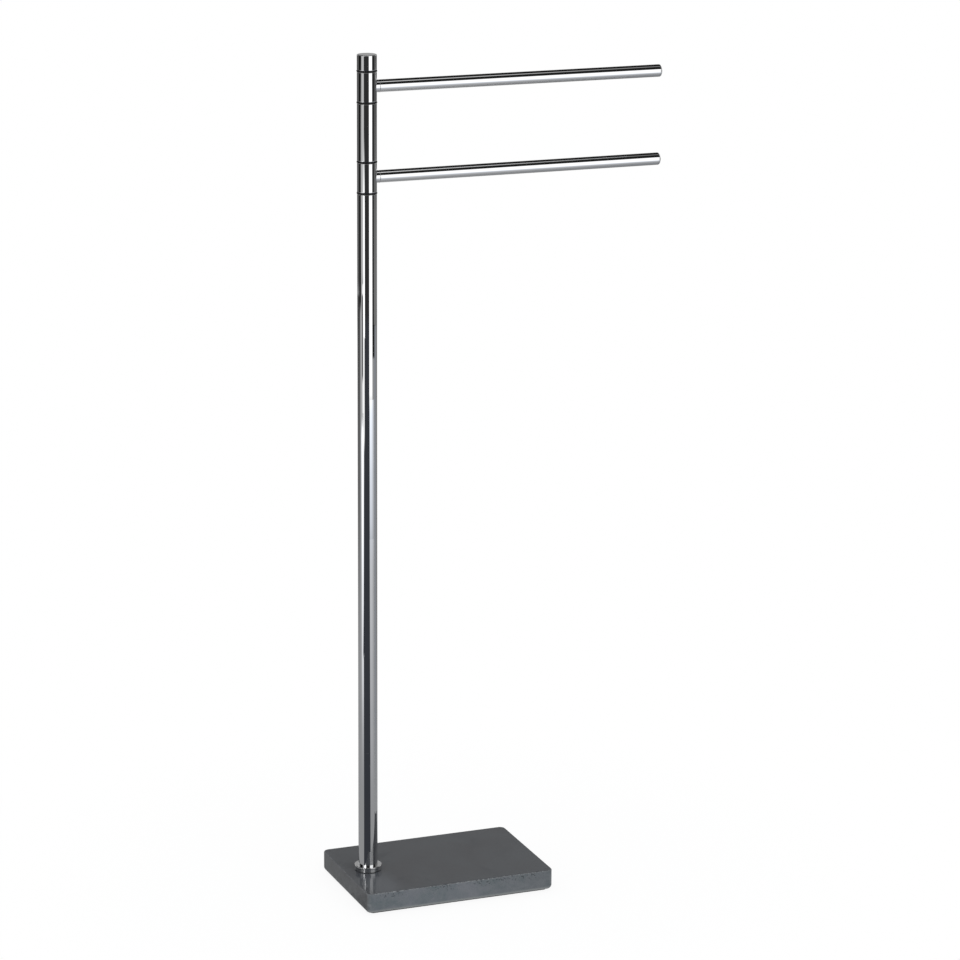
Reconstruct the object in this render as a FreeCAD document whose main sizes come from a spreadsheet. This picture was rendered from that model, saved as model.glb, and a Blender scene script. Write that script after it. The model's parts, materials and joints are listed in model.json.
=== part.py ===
import FreeCAD, Part
import os
import re
import Sketcher
from FreeCAD import Placement, Rotation, Vector

# A freestanding towel stand: a stone-resin slab, a column near one end of it, and two arms that
# swivel on a spindle at the column's head. Millimetres, +Z up. The origin is on the floor, under
# the middle of the slab; the arms point along +X at rest.

SIZES = (
    # the slab and the soft sheet that it stands on
    ("base_len", 228.0),
    ("base_depth", 156.0),
    ("base_thk", 24.0),
    ("base_corner", 7.0),
    ("base_top_round", 1.5),
    ("base_foot_round", 5.0),
    ("column_inset", 28.6),        # from the slab's end to the column's axis
    ("pad_thk", 1.5),
    ("pad_inset", 6.0),
    ("pad_corner", 4.0),
    ("pad_relief", 2.0),           # the sheet's hole stands back from the recess by this
    # the bolt and washer in the recess under the slab
    ("bolt_dia", 8.0),
    ("bolt_head_dia", 13.0),
    ("bolt_head_hgt", 8.0),
    ("bolt_key", 6.0),             # across the flats of the hexagon socket
    ("bolt_key_depth", 4.0),
    ("bolt_engage", 17.5),         # thread inside the column's lower plug
    ("washer_dia", 24.0),
    ("washer_thk", 2.0),
    ("recess_gap", 2.0),           # round the washer
    ("head_sink", 2.0),            # the head lies this deep inside the recess
    # the flange and its gasket
    ("flange_dia", 31.6),
    ("flange_flare", 0.5),         # the rim stands out from the foot by this
    ("flange_rim_hgt", 2.0),
    ("flange_hgt", 5.7),
    ("flange_floor", 2.7),
    ("flange_round", 0.7),
    ("gasket_thk", 0.8),
    ("gasket_inset", 0.6),
    # the column and the sleeve between the collars
    ("column_od", 22.0),
    ("column_wall", 1.5),
    ("column_len", 787.5),
    ("spacer_len", 64.2),
    ("spacer_plug_len", 10.0),
    ("plug_end", 3.0),             # solid end of a threaded plug
    ("thread_runout", 2.0),
    # the spindle and the pieces that clamp the stack
    ("spindle_dia", 8.0),
    ("spindle_engage", 25.0),      # thread inside the column's upper plug
    ("thrust_dia", 17.0),
    ("thrust_thk", 1.6),
    ("spring_dia", 16.0),
    ("spring_thk", 0.9),
    ("spring_hgt", 1.35),
    ("nut_flats", 13.0),
    ("nut_hgt", 4.0),
    # the black rings
    ("ring_thk", 1.5),
    ("ring_proud", 0.45),          # the rings stand out from the column by this
    ("ring_round", 0.5),
    # the swivel collars and their bushes
    ("collar_len", 33.2),
    ("bush_od", 12.0),
    ("bush_len", 12.0),
    # the cap
    ("cap_hgt", 17.4),
    ("cap_roof", 3.2),             # solid metal over the spindle's end
    ("cap_top_round", 0.8),
    # the arms
    ("arm_od", 14.0),
    ("arm_wall", 1.0),
    ("arm_reach", 351.0),          # from the column's axis to the arm's tip
    ("neck_len", 2.5),             # from the collar's side to the arm tube
    ("stud_dia", 6.0),
    ("stud_engage", 15.0),         # thread inside the arm's plug
    ("stud_tip_gap", 0.5),         # the stud's inner end stays out of the bush
    ("end_head_thk", 2.2),
    ("end_spigot_len", 10.0),
    ("end_round", 1.7),
    # edges
    ("head_round", 0.6),           # upper rims of the turned pieces on the column
    ("foot_round", 1.2),           # lower rims of the turned pieces on the column
    ("edge_break", 0.2),
    ("seam_break", 0.3),           # both rims where a neck meets its arm tube
    # clearances
    ("bolt_gap", 0.5),             # round a bolt in a plain hole, on the radius
    ("thread_gap", 0.03),          # between a thread and its hole, on the radius
    ("plug_gap", 0.03),            # between a plug and its tube, on the radius
    ("bush_gap", 0.02),            # between a bush and its collar, on the radius
    ("running_gap", 0.05),         # between a bush and the spindle, on the radius
    ("spindle_gap", 0.2),          # between the spindle and what it only passes through
    ("seat_gap", 0.05),            # between the column's foot and the flange
    ("saddle_gap", 0.02),          # between a neck and its collar
    ("cavity_gap", 0.7),           # inside the cap, round the thrust washer
    ("cavity_head_gap", 0.5),      # inside the cap, over the nut
)
NEAR = 1e-4                        # how close an edge lies to the place that names it

doc = FreeCAD.newDocument("towel_stand")
sheet = doc.addObject("Spreadsheet::Sheet", "sizes")
for row, (alias, size) in enumerate(SIZES, start=1):
    sheet.set(f"A{row}", alias)
    sheet.set(f"B{row}", str(size))
    sheet.setAlias(f"B{row}", alias)
doc.recompute()


def bound(text):
    """The expression for text, in which every word with an underscore is one of the sizes."""
    return re.sub(r"[a-z]+(?:_[a-z]+)+", lambda word: "sizes." + word.group(0), text)


def number(text):
    """What text comes to now."""
    return float(sheet.evalExpression(bound(text)))


# Heights of the joints in the stack, from the floor up.
SLAB_FOOT = "pad_thk"
SLAB_TOP = f"({SLAB_FOOT} + base_thk)"
RECESS_DEPTH = "(washer_thk + bolt_head_hgt + head_sink)"
HEAD_FOOT = f"({SLAB_FOOT} + head_sink)"
WASHER_FOOT = f"({HEAD_FOOT} + bolt_head_hgt)"
FLANGE_FOOT = f"({SLAB_TOP} + gasket_thk)"
TUBE_FOOT = f"({FLANGE_FOOT} + flange_floor)"
TUBE_HEAD = f"({TUBE_FOOT} + column_len)"
LOWER_COLLAR_FOOT = f"({TUBE_HEAD} + ring_thk)"
LOWER_COLLAR_HEAD = f"({LOWER_COLLAR_FOOT} + collar_len)"
SPACER_FOOT = f"({LOWER_COLLAR_HEAD} + ring_thk)"
SPACER_HEAD = f"({SPACER_FOOT} + spacer_len)"
UPPER_COLLAR_FOOT = f"({SPACER_HEAD} + ring_thk)"
UPPER_COLLAR_HEAD = f"({UPPER_COLLAR_FOOT} + collar_len)"
CAP_FOOT = f"({UPPER_COLLAR_HEAD} + ring_thk)"
SPRING_FOOT = f"({CAP_FOOT} + thrust_thk)"
NUT_FOOT = f"({SPRING_FOOT} + spring_hgt)"
SPINDLE_FOOT = f"({TUBE_HEAD} - spindle_engage)"
SPINDLE_HEAD = f"({CAP_FOOT} + cap_hgt - cap_roof - thread_gap)"

# Radii and lengths that several pieces share.
COLUMN_X = "(column_inset - base_len / 2)"
COLUMN_R = "(column_od / 2)"
COLUMN_BORE = "(column_od / 2 - column_wall)"
COLUMN_PLUG_R = f"({COLUMN_BORE} - plug_gap)"
RECESS_R = "(washer_dia / 2 + recess_gap)"
BOLT_HOLE_R = "(bolt_dia / 2 + bolt_gap)"
FLANGE_FOOT_R = "(flange_dia / 2 - flange_flare)"
SPINDLE_R = "(spindle_dia / 2)"
SPINDLE_HOLE_R = "(spindle_dia / 2 + spindle_gap)"
SPINDLE_THREAD_R = "(spindle_dia / 2 + thread_gap)"
COLLAR_BORE = "(bush_od / 2)"
CAVITY_R = "(thrust_dia / 2 + cavity_gap)"
CAVITY_DEPTH = "(thrust_thk + spring_hgt + nut_hgt + cavity_head_gap)"
ARM_R = "(arm_od / 2)"
ARM_PLUG_R = "(arm_od / 2 - arm_wall - plug_gap)"
ARM_START = f"({COLUMN_R} + neck_len)"
ARM_END = "(arm_reach - end_head_thk)"
STUD_START = f"({COLLAR_BORE} + stud_tip_gap)"
TUBE_FOOT_ROUND = "min(foot_round; column_wall * 0.8)"
TUBE_HEAD_ROUND = "min(head_round; column_wall * 0.8)"
TUBE_SEAM_BREAK = "min(seam_break; arm_wall * 0.4)"
TUBE_TIP_BREAK = "min(edge_break; arm_wall * 0.4)"


def new_body(name):
    return doc.addObject("PartDesign::Body", name)


def new_sketch(body, name, plane):
    sketch = body.newObject("Sketcher::SketchObject", f"{body.Name}_{name}")
    datum = next(item for item in body.Origin.OriginFeatures if item.Role == plane)
    sketch.AttachmentSupport = (datum, "")
    sketch.MapMode = "FlatFace"
    return sketch


def hold(sketch, geometry, vertex, place):
    """Tie one vertex of a sketch to the two expressions of its place."""
    for kind, axis, text in (("DistanceX", -2, place[0]), ("DistanceY", -1, place[1])):
        if text == "0":
            sketch.addConstraint(Sketcher.Constraint("PointOnObject", geometry, vertex, axis))
            continue
        held = Sketcher.Constraint(kind, -1, 1, geometry, vertex, number(text))
        sketch.setExpression(f"Constraints[{sketch.addConstraint(held)}]", bound(text))


def outline(body, name, plane, corners):
    """A closed straight-sided sketch through corners, each a pair of expressions."""
    sketch = new_sketch(body, name, plane)
    points = [Vector(number(across), number(along), 0) for across, along in corners]
    for start, end in zip(points, points[1:] + points[:1]):
        sketch.addGeometry(Part.LineSegment(start, end), False)
    for index, corner in enumerate(corners):
        following = (index + 1) % len(corners)
        sketch.addConstraint(Sketcher.Constraint("Coincident", index, 2, following, 1))
        hold(sketch, index, 1, corner)
    doc.recompute()
    return sketch


def disc(body, name, plane, radius, centre=("0", "0")):
    """A sketch of one circle."""
    sketch = new_sketch(body, name, plane)
    middle = Vector(number(centre[0]), number(centre[1]), 0)
    circle = sketch.addGeometry(Part.Circle(middle, Vector(0, 0, 1), number(radius)), False)
    hold(sketch, circle, 3, centre)
    held = sketch.addConstraint(Sketcher.Constraint("Radius", circle, number(radius)))
    sketch.setExpression(f"Constraints[{held}]", bound(radius))
    doc.recompute()
    return sketch


def rectangle(across, along):
    right, top = f"{across} / 2", f"{along} / 2"
    left, bottom = f"-{across} / 2", f"-{along} / 2"
    return ((left, bottom), (right, bottom), (right, top), (left, top))


def hexagon(flats):
    point, half_side, half_flats = f"{flats} / sqrt(3)", f"{flats} / sqrt(12)", f"{flats} / 2"
    return (
        (point, "0"), (half_side, half_flats), (f"-{half_side}", half_flats),
        (f"-{point}", "0"), (f"-{half_side}", f"-{half_flats}"), (half_side, f"-{half_flats}"),
    )


def turned(name, corners):
    """A body turned about its own Z from corners, each a pair (radius, height)."""
    body = new_body(name)
    solid = body.newObject("PartDesign::Revolution", f"{name}_turning")
    solid.Profile = outline(body, "profile", "XZ_Plane", corners)
    solid.ReferenceAxis = (solid.Profile[0], ["V_Axis"])
    solid.Angle = 360
    doc.recompute()
    return body


def tube(name, outer, bore, length):
    return turned(name, ((bore, "0"), (outer, "0"), (outer, length), (bore, length)))


def rod(name, radius, length):
    return turned(name, (("0", "0"), (radius, "0"), (radius, length), ("0", length)))


def raised(body, sketch, height):
    """Pad a sketch up from its plane."""
    pad = body.newObject("PartDesign::Pad", f"{body.Name}_pad")
    pad.Profile = sketch
    pad.setExpression("Length", bound(height))
    doc.recompute()


def cut(body, sketch, depth, symmetric=False):
    """Pocket a sketch along its plane's own normal, or both ways; it has to remove something."""
    before = body.Shape.Volume
    pocket = body.newObject("PartDesign::Pocket", f"{sketch.Name}_pocket")
    pocket.Profile = sketch
    pocket.Reversed = True
    pocket.SideType = "Symmetric" if symmetric else "One side"
    pocket.setExpression("Length", bound(depth))
    doc.recompute()
    if body.Shape.Volume > before - NEAR:
        raise RuntimeError(f"{sketch.Name} cuts nothing from {body.Label}")


def rims(body, *places):
    """The round edges of a body at each place (radius, height)."""
    found = []
    for radius, height in places:
        for index, edge in enumerate(body.Tip.Shape.Edges, start=1):
            curve = edge.Curve
            if not isinstance(curve, Part.Circle) or abs(curve.Radius - number(radius)) > NEAR:
                continue
            if abs(curve.Center.z - number(height)) < NEAR:
                found.append(f"Edge{index}")
    return found


def edges_between(body, low, high):
    """The edges of a body that lie wholly between two heights."""
    found = []
    for index, edge in enumerate(body.Tip.Shape.Edges, start=1):
        box = edge.BoundBox
        if box.ZMin > number(low) - NEAR and box.ZMax < number(high) + NEAR:
            found.append(f"Edge{index}")
    return found


def upright_edges(body):
    found = []
    for index, edge in enumerate(body.Tip.Shape.Edges, start=1):
        box = edge.BoundBox
        if max(box.XLength, box.YLength) < NEAR:
            found.append(f"Edge{index}")
    return found


def eased(body, kind, edges, size):
    """Fillet or chamfer named edges of a body."""
    if not edges:
        raise RuntimeError(f"{body.Label} has no edge to ease by {size}")
    plain = body.Tip
    ease = body.newObject(f"PartDesign::{kind}", f"{plain.Name}_{kind.lower()}")
    ease.Base = (plain, edges)
    ease.setExpression("Radius" if kind == "Fillet" else "Size", bound(size))
    doc.recompute()


def seat(body, x="0", y="0", z="0", lying=False):
    """Put a body in its place, upright or lying along +X."""
    if lying:
        body.Placement = Placement(Vector(), Rotation(Vector(0, 1, 0), 90))
    for axis, text in zip("xyz", (x, y, z)):
        body.setExpression(f"Placement.Base.{axis}", bound(text))
    return body


def base_slab():
    body = new_body("base_slab")
    raised(body, outline(body, "plan", "XY_Plane", rectangle("base_len", "base_depth")), "base_thk")
    eased(body, "Fillet", upright_edges(body), "base_corner")
    eased(body, "Fillet", edges_between(body, "base_thk", "base_thk"), "base_top_round")
    eased(body, "Fillet", edges_between(body, "0", "0"), "base_foot_round")
    cut(body, disc(body, "recess", "XY_Plane", RECESS_R, (COLUMN_X, "0")), RECESS_DEPTH)
    cut(body, disc(body, "hole", "XY_Plane", BOLT_HOLE_R, (COLUMN_X, "0")), "base_thk")
    return seat(body, z=SLAB_FOOT)


def anti_slip_pad():
    body = new_body("anti_slip_pad")
    sides = rectangle("(base_len - 2 * pad_inset)", "(base_depth - 2 * pad_inset)")
    raised(body, outline(body, "plan", "XY_Plane", sides), "pad_thk")
    eased(body, "Fillet", upright_edges(body), "pad_corner")
    hole = disc(body, "hole", "XY_Plane", f"{RECESS_R} + pad_relief", (COLUMN_X, "0"))
    cut(body, hole, "pad_thk")
    return seat(body)


def base_bolt():
    head, shank = "(bolt_head_dia / 2)", "(bolt_dia / 2)"
    tip = f"({TUBE_FOOT} + bolt_engage - {HEAD_FOOT})"
    body = turned("base_bolt", (
        ("0", "0"), (head, "0"), (head, "bolt_head_hgt"), (shank, "bolt_head_hgt"),
        (shank, tip), ("0", tip),
    ))
    eased(body, "Chamfer", rims(body, (head, "0"), (shank, tip)), "edge_break * 3")
    cut(body, outline(body, "key", "XY_Plane", hexagon("bolt_key")), "bolt_key_depth")
    return seat(body, COLUMN_X, z=HEAD_FOOT)


def base_washer():
    body = tube("base_washer", "washer_dia / 2", BOLT_HOLE_R, "washer_thk")
    return seat(body, COLUMN_X, z=WASHER_FOOT)


def flange_gasket():
    body = tube("flange_gasket", f"{FLANGE_FOOT_R} - gasket_inset", BOLT_HOLE_R, "gasket_thk")
    return seat(body, COLUMN_X, z=SLAB_TOP)


def base_flange():
    rim, socket = "(flange_dia / 2)", f"({COLUMN_R} + seat_gap)"
    body = turned("base_flange", (
        (BOLT_HOLE_R, "0"), (FLANGE_FOOT_R, "0"), (FLANGE_FOOT_R, "flange_hgt - flange_rim_hgt"),
        (rim, "flange_hgt - flange_rim_hgt + flange_flare"), (rim, "flange_hgt"),
        (socket, "flange_hgt"), (socket, "flange_floor"), (BOLT_HOLE_R, "flange_floor"),
    ))
    eased(body, "Fillet", rims(body, (rim, "flange_hgt")), "flange_round")
    return seat(body, COLUMN_X, z=FLANGE_FOOT)


def column_tube():
    body = tube("column_tube", COLUMN_R, COLUMN_BORE, "column_len")
    eased(body, "Fillet", rims(body, (COLUMN_R, "column_len")), TUBE_HEAD_ROUND)
    return seat(body, COLUMN_X, z=TUBE_FOOT)


def threaded_plug(name, outer, hole, depth):
    """A plug with a blind threaded hole in its lower end."""
    length = f"({depth} + plug_end)"
    return turned(name, (
        (hole, "0"), (outer, "0"), (outer, length), ("0", length), ("0", depth), (hole, depth),
    ))


def column_lower_insert():
    depth = "(bolt_engage + thread_runout)"
    body = threaded_plug("column_lower_insert", COLUMN_PLUG_R, "bolt_dia / 2 + thread_gap", depth)
    return seat(body, COLUMN_X, z=TUBE_FOOT)


def column_upper_insert():
    length = "(spindle_engage + thread_runout + plug_end)"
    body = turned("column_upper_insert", (
        ("0", "0"), (COLUMN_PLUG_R, "0"), (COLUMN_PLUG_R, length), (SPINDLE_THREAD_R, length),
        (SPINDLE_THREAD_R, "plug_end"), ("0", "plug_end"),
    ))
    return seat(body, COLUMN_X, z=f"{TUBE_HEAD} - {length}")


def spindle_rod():
    length = f"({SPINDLE_HEAD} - {SPINDLE_FOOT})"
    body = rod("spindle_rod", SPINDLE_R, length)
    eased(body, "Chamfer", rims(body, (SPINDLE_R, "0"), (SPINDLE_R, length)), "edge_break * 3")
    return seat(body, COLUMN_X, z=SPINDLE_FOOT)


def black_ring(name, height):
    outer = f"({COLUMN_R} + ring_proud)"
    body = tube(name, outer, SPINDLE_HOLE_R, "ring_thk")
    eased(body, "Fillet", rims(body, (outer, "0"), (outer, "ring_thk")), "ring_round")
    return seat(body, COLUMN_X, z=height)


def swivel_collar(level, height):
    body = tube(f"{level}_collar", COLUMN_R, COLLAR_BORE, "collar_len")
    eased(body, "Fillet", rims(body, (COLUMN_R, "collar_len")), "head_round")
    eased(body, "Fillet", rims(body, (COLUMN_R, "0")), "foot_round")
    stud_hole = disc(body, "hole", "YZ_Plane", "stud_dia / 2 + thread_gap", ("0", "collar_len / 2"))
    cut(body, stud_hole, "column_od")
    return seat(body, COLUMN_X, z=height)


def collar_bush(name, height):
    body = tube(name, f"{COLLAR_BORE} - bush_gap", f"{SPINDLE_R} + running_gap", "bush_len")
    return seat(body, COLUMN_X, z=height)


def spacer_tube():
    body = tube("spacer_tube", COLUMN_R, COLUMN_BORE, "spacer_len")
    eased(body, "Fillet", rims(body, (COLUMN_R, "spacer_len")), TUBE_HEAD_ROUND)
    eased(body, "Fillet", rims(body, (COLUMN_R, "0")), TUBE_FOOT_ROUND)
    return seat(body, COLUMN_X, z=SPACER_FOOT)


def spacer_plug(name, height):
    body = tube(name, COLUMN_PLUG_R, SPINDLE_HOLE_R, "spacer_plug_len")
    return seat(body, COLUMN_X, z=height)


def thrust_washer():
    body = tube("thrust_washer", "thrust_dia / 2", SPINDLE_HOLE_R, "thrust_thk")
    return seat(body, COLUMN_X, z=CAP_FOOT)


def disc_spring():
    rim = "spring_dia / 2"
    body = turned("disc_spring", (
        (SPINDLE_HOLE_R, "spring_hgt - spring_thk"), (rim, "0"), (rim, "spring_thk"),
        (SPINDLE_HOLE_R, "spring_hgt"),
    ))
    return seat(body, COLUMN_X, z=SPRING_FOOT)


def spindle_nut():
    body = new_body("spindle_nut")
    raised(body, outline(body, "plan", "XY_Plane", hexagon("nut_flats")), "nut_hgt")
    cut(body, disc(body, "thread", "XY_Plane", SPINDLE_THREAD_R), "nut_hgt")
    return seat(body, COLUMN_X, z=NUT_FOOT)


def top_cap():
    roof = "(cap_hgt - cap_roof)"
    body = turned("top_cap", (
        (CAVITY_R, "0"), (COLUMN_R, "0"), (COLUMN_R, "cap_hgt"), ("0", "cap_hgt"), ("0", roof),
        (SPINDLE_THREAD_R, roof), (SPINDLE_THREAD_R, CAVITY_DEPTH), (CAVITY_R, CAVITY_DEPTH),
    ))
    eased(body, "Fillet", rims(body, (COLUMN_R, "cap_hgt")), "cap_top_round")
    eased(body, "Fillet", rims(body, (COLUMN_R, "0")), "foot_round")
    return seat(body, COLUMN_X, z=CAP_FOOT)


def from_axis(distance):
    """The place along X of what lies at a distance from the column's axis."""
    return f"{COLUMN_X} + {distance}"


def arm_stud(level, height):
    length = f"({ARM_START} + stud_engage - {STUD_START})"
    body = rod(f"{level}_arm_stud", "stud_dia / 2", length)
    ends = rims(body, ("stud_dia / 2", "0"), ("stud_dia / 2", length))
    eased(body, "Chamfer", ends, "edge_break * 2")
    return seat(body, from_axis(STUD_START), z=height, lying=True)


def arm_neck(level, height):
    """A short ferrule, hollowed at one end to sit on the collar's side."""
    body = tube(f"{level}_arm_neck", ARM_R, "stud_dia / 2 + thread_gap", ARM_START)
    eased(body, "Chamfer", rims(body, (ARM_R, ARM_START)), "seam_break")
    side = disc(body, "saddle", "YZ_Plane", f"{COLUMN_R} + saddle_gap")
    cut(body, side, "arm_od * 2", symmetric=True)
    return seat(body, COLUMN_X, z=height, lying=True)


def arm_tube(level, height):
    length = f"({ARM_END} - {ARM_START})"
    body = tube(f"{level}_arm_tube", ARM_R, "arm_od / 2 - arm_wall", length)
    eased(body, "Chamfer", rims(body, (ARM_R, "0")), TUBE_SEAM_BREAK)
    eased(body, "Chamfer", rims(body, (ARM_R, length)), TUBE_TIP_BREAK)
    return seat(body, from_axis(ARM_START), z=height, lying=True)


def arm_insert(level, height):
    depth = "(stud_engage + thread_runout)"
    body = threaded_plug(f"{level}_arm_insert", ARM_PLUG_R, "stud_dia / 2 + thread_gap", depth)
    return seat(body, from_axis(ARM_START), z=height, lying=True)


def arm_end_cap(level, height):
    length = "(end_spigot_len + end_head_thk)"
    body = turned(f"{level}_arm_end_cap", (
        ("0", "0"), (ARM_PLUG_R, "0"), (ARM_PLUG_R, "end_spigot_len"), (ARM_R, "end_spigot_len"),
        (ARM_R, length), ("0", length),
    ))
    eased(body, "Fillet", rims(body, (ARM_R, length)), "min(end_round; end_head_thk * 0.8)")
    return seat(body, from_axis(f"{ARM_END} - end_spigot_len"), z=height, lying=True)


def swivel_arm(level, collar_foot, collar_head):
    """Everything that turns with one collar."""
    axis = f"{collar_foot} + collar_len / 2"
    return [
        swivel_collar(level, collar_foot),
        collar_bush(f"{level}_collar_bottom_bush", collar_foot),
        collar_bush(f"{level}_collar_top_bush", f"{collar_head} - bush_len"),
        arm_stud(level, axis),
        arm_neck(level, axis),
        arm_tube(level, axis),
        arm_insert(level, axis),
        arm_end_cap(level, axis),
    ]


NODES = [
    base_slab(), anti_slip_pad(), base_bolt(), base_washer(), flange_gasket(), base_flange(),
    column_tube(), column_lower_insert(), column_upper_insert(), spindle_rod(),
    black_ring("lower_bottom_ring", TUBE_HEAD), black_ring("lower_top_ring", LOWER_COLLAR_HEAD),
    black_ring("upper_bottom_ring", SPACER_HEAD), black_ring("upper_top_ring", UPPER_COLLAR_HEAD),
    spacer_tube(), spacer_plug("spacer_bottom_plug", SPACER_FOOT),
    spacer_plug("spacer_top_plug", f"{SPACER_HEAD} - spacer_plug_len"),
    thrust_washer(), disc_spring(), spindle_nut(), top_cap(),
]
NODES += swivel_arm("lower", LOWER_COLLAR_FOOT, LOWER_COLLAR_HEAD)
NODES += swivel_arm("upper", UPPER_COLLAR_FOOT, UPPER_COLLAR_HEAD)

doc.recompute()
failed = [item.Name for item in doc.Objects if {"Invalid", "Error"} & set(item.State)]
failed += [node.Label for node in NODES if node.Shape.isNull() or not node.Shape.isValid()]
if failed:
    raise RuntimeError("not built: " + ", ".join(failed))

os.makedirs("parts", exist_ok=True)
for node in NODES:
    node.Shape.exportStep(f"parts/{node.Label}.step")
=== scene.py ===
import json
import math
import random

import bpy
from mathutils import Matrix, Vector, geometry, noise


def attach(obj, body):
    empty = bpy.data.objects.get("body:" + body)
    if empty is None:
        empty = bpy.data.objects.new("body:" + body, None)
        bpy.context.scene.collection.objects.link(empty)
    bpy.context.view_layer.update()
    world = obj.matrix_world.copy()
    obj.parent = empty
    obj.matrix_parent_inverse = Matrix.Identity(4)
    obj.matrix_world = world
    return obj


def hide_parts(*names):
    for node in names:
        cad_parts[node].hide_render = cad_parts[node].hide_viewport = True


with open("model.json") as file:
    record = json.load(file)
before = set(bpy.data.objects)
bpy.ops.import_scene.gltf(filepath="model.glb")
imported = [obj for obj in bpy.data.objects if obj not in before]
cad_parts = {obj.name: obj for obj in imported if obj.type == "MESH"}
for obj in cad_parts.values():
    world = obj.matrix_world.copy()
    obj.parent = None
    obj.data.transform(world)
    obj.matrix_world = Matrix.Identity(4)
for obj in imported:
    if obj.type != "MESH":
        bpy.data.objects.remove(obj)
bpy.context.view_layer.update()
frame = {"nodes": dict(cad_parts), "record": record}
scene = bpy.context.scene

COLUMN_X = -0.0854      # where the column's axis stands on the slab


# ---------------------------------------------------------------- camera

# Solved from the photograph's edges
CAMERA_PLACE = (-1.48147, -3.86106, 1.58288)
CAMERA_TURN, CAMERA_TILT, CAMERA_ROLL = 0.37774, -0.26007, 0.00633
LENS_MM, SENSOR_MM = 141.81, 36.0
NEAREST_SEEN, FARTHEST_SEEN = 0.1, 60.0


def photograph_camera():
    """Long lens from the left, above the arms, looking down at the stand."""
    data = bpy.data.cameras.new("camera")
    data.sensor_width = SENSOR_MM
    data.lens = LENS_MM
    data.clip_start, data.clip_end = NEAREST_SEEN, FARTHEST_SEEN
    camera = bpy.data.objects.new("camera", data)
    scene.collection.objects.link(camera)
    look = (
        Matrix.Rotation(-CAMERA_TURN, 4, "Z")
        @ Matrix.Rotation(math.pi / 2 + CAMERA_TILT, 4, "X")
        @ Matrix.Rotation(CAMERA_ROLL, 4, "Z")
    )
    camera.matrix_world = Matrix.Translation(CAMERA_PLACE) @ look
    scene.camera = camera


# ---------------------------------------------------------------- node helpers

def feed(tree, socket, value):
    """Links a socket to another, or sets its number, colour or direction."""
    if isinstance(value, bpy.types.NodeSocket):
        tree.links.new(value, socket)
    else:
        socket.default_value = value


def shader_node(tree, kind, label="", **settings):
    """A node with its properties set and its inputs fed, each by name."""
    node = tree.nodes.new("ShaderNode" + kind)
    node.label = label
    for key, value in settings.items():
        if key in node.inputs:
            feed(tree, node.inputs[key], value)
        else:
            setattr(node, key, value)
    return node


def maths(tree, operation, *values):
    node = shader_node(tree, "Math", operation=operation)
    for socket, value in zip(node.inputs, values):
        feed(tree, socket, value)
    return node.outputs[0]


def times(tree, first, second):
    return maths(tree, "MULTIPLY", first, second)


def times_plus(tree, first, second, added):
    return maths(tree, "MULTIPLY_ADD", first, second, added)


def larger(tree, first, second):
    return maths(tree, "MAXIMUM", first, second)


def stretch(tree, value, low, high, to_low=0.0, to_high=1.0, label=""):
    """Turns a range of values smoothly into another."""
    node = shader_node(tree, "MapRange", label, interpolation_type="SMOOTHSTEP")
    for key, number in (("Value", value), ("From Min", low), ("From Max", high),
                        ("To Min", to_low), ("To Max", to_high)):
        feed(tree, node.inputs[key], number)
    return node.outputs["Result"]


def blend_colour(tree, mask, under, over, label=""):
    """Lays one colour over another where the mask says."""
    node = shader_node(tree, "Mix", label, data_type="RGBA")
    feed(tree, node.inputs["Factor"], mask)
    for key, colour in (("A", under), ("B", over)):
        socket = next(s for s in node.inputs if s.name == key and s.type == "RGBA")
        linked = isinstance(colour, bpy.types.NodeSocket)
        feed(tree, socket, colour if linked else (*colour, 1.0))
    return next(s for s in node.outputs if s.type == "RGBA")


def blend_shaders(tree, share, under, over):
    node = shader_node(tree, "MixShader", Fac=share)
    feed(tree, node.inputs[1], under)
    feed(tree, node.inputs[2], over)
    return node.outputs[0]


def split(tree, vector):
    """The X, Y and Z of a place or a direction."""
    return shader_node(tree, "SeparateXYZ", Vector=vector).outputs


def facing_parts(tree):
    """The X, Y and Z of the way that the surface faces."""
    return split(tree, shader_node(tree, "NewGeometry").outputs["Normal"])


def new_material(name):
    material = bpy.data.materials.new(name)
    material.use_nodes = True
    material.node_tree.nodes.clear()
    return material, material.node_tree


# ---------------------------------------------------------------- shared effects

def new_effect(name, inputs, outputs):
    """A shader node group with named sockets. Inputs are (name, kind, default)."""
    tree = bpy.data.node_groups.new(name, "ShaderNodeTree")
    for label, kind, default in inputs:
        socket = tree.interface.new_socket(
            label, in_out="INPUT", socket_type="NodeSocket" + kind)
        if default is not None:
            socket.default_value = default
    for label in outputs:
        tree.interface.new_socket(label, in_out="OUTPUT", socket_type="NodeSocketFloat")
    given = tree.nodes.new("NodeGroupInput")
    result = tree.nodes.new("NodeGroupOutput")
    return tree, given.outputs, result.inputs


def effect(tree, name, **values):
    """Places a shared effect in a material, with this material's own values."""
    node = tree.nodes.new("ShaderNodeGroup")
    node.node_tree = bpy.data.node_groups[name]
    node.label = name.replace("_", " ")
    for key, value in values.items():
        feed(tree, node.inputs[key.replace("_", " ")], value)
    return node.outputs


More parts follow.
